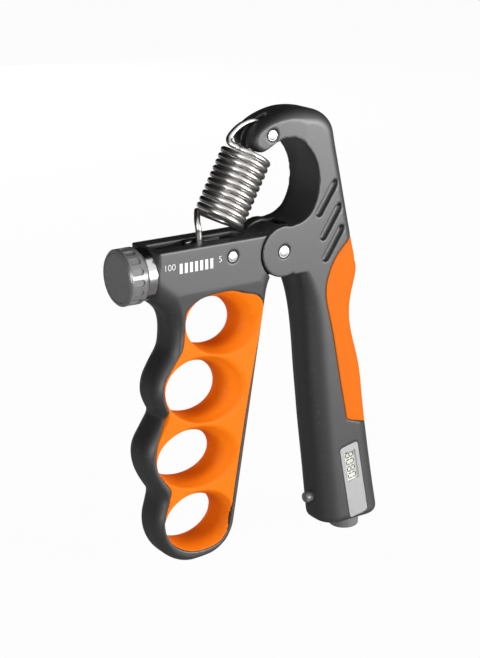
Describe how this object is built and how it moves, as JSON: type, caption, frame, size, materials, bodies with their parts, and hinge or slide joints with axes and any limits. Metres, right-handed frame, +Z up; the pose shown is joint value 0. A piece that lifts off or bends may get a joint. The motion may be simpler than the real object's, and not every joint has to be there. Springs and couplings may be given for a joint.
{
  "type": "hand grip strengthener",
  "caption": "Adjustable hand grip strengthener with an orange-lined finger handle, a palm lever with a press counter, an exposed coil spring and a knob that sets its pull.",
  "frame": {"origin": "under the middle of the object's box, at its lowest point", "axes": "+Z up along the handles, +X from the finger handle towards the palm handle, front face with the display towards -Y"},
  "size_m": [0.1106, 0.0196, 0.1654],
  "materials": {
    "grip_plastic": "satin moulded plastic with a very fine grain",
    "soft_orange": "soft-touch orange elastomer",
    "bright_steel": "polished steel",
    "plain_steel": "machined steel",
    "silver_ring": "satin silver ring",
    "spring_steel": "drawn and plated wire",
    "knob_plastic": "satin black plastic",
    "nylon": "natural nylon",
    "plate_plastic": "fine-grained black plastic",
    "clear_window": "clear window",
    "lcd_glass": "pale display behind glass",
    "board_green": "printed circuit board",
    "cell_steel": "plated steel cell"
  },
  "bodies": {
    "palm": {"palm_lever": "grip_plastic", "palm_pad": "soft_orange", "hook_rivet": "bright_steel", "pivot_rivet": "bright_steel", "pivot_washers": "nylon", "display_plate": "plate_plastic", "display_window": "clear_window", "lcd_module": "lcd_glass", "counter_housing": "plate_plastic", "counter_board": "board_green", "counter_cell": "cell_steel", "switch_block": "plate_plastic", "end_cap": "grip_plastic", "tension_spring": "spring_steel"},
    "finger": {"finger_frame": "grip_plastic", "finger_liner": "soft_orange", "pivot_bush": "nylon", "screw_bearing": "plain_steel", "arm_rivet": "bright_steel", "collar_ring": "silver_ring", "thrust_washer": "nylon"},
    "adjuster": {"lead_screw": "plain_steel", "retaining_clip": "plain_steel", "adjust_knob": "knob_plastic", "knob_screw": "plain_steel", "knob_cap": "knob_plastic"},
    "slider": {"slider_nut": "plain_steel", "slider_pin": "plain_steel", "slider_plate": "bright_steel"},
    "reset": {"reset_button": "knob_plastic"},
    "trigger": {"trigger_plunger": "knob_plastic"}
  },
  "joints": [
    {"name": "grip_close", "type": "hinge", "parent": "palm", "child": "finger", "pos_m": [0.00705, 0, 0.1161], "axis": [0, -1, 0], "range_deg": [0, 20], "stiffness_Nm_per_rad": 6, "deforming": ["tension_spring"]},
    {"name": "knob_spin", "type": "hinge", "parent": "finger", "child": "adjuster", "pos_m": [-0.04295, 0, 0.1143], "axis": [1, 0, 0], "range_deg": [-2214, 180]},
    {"name": "slider_travel", "type": "slide", "parent": "finger", "child": "slider", "axis": [1, 0, 0], "range_m": [-0.0123, 0.001], "deforming": ["tension_spring"]},
    {"name": "reset_press", "type": "slide", "parent": "palm", "child": "reset", "axis": [0, 0, 1], "range_m": [0, 0.0015], "stiffness_N_per_m": 2500},
    {"name": "count_trigger", "type": "slide", "parent": "palm", "child": "trigger", "axis": [1, 0, 0], "range_m": [0, 0.0016], "stiffness_N_per_m": 600}
  ],
  "couplings": [
    {"joint": "knob_spin", "follows": "slider_travel", "rad_per_m": 3141.6}
  ]
}
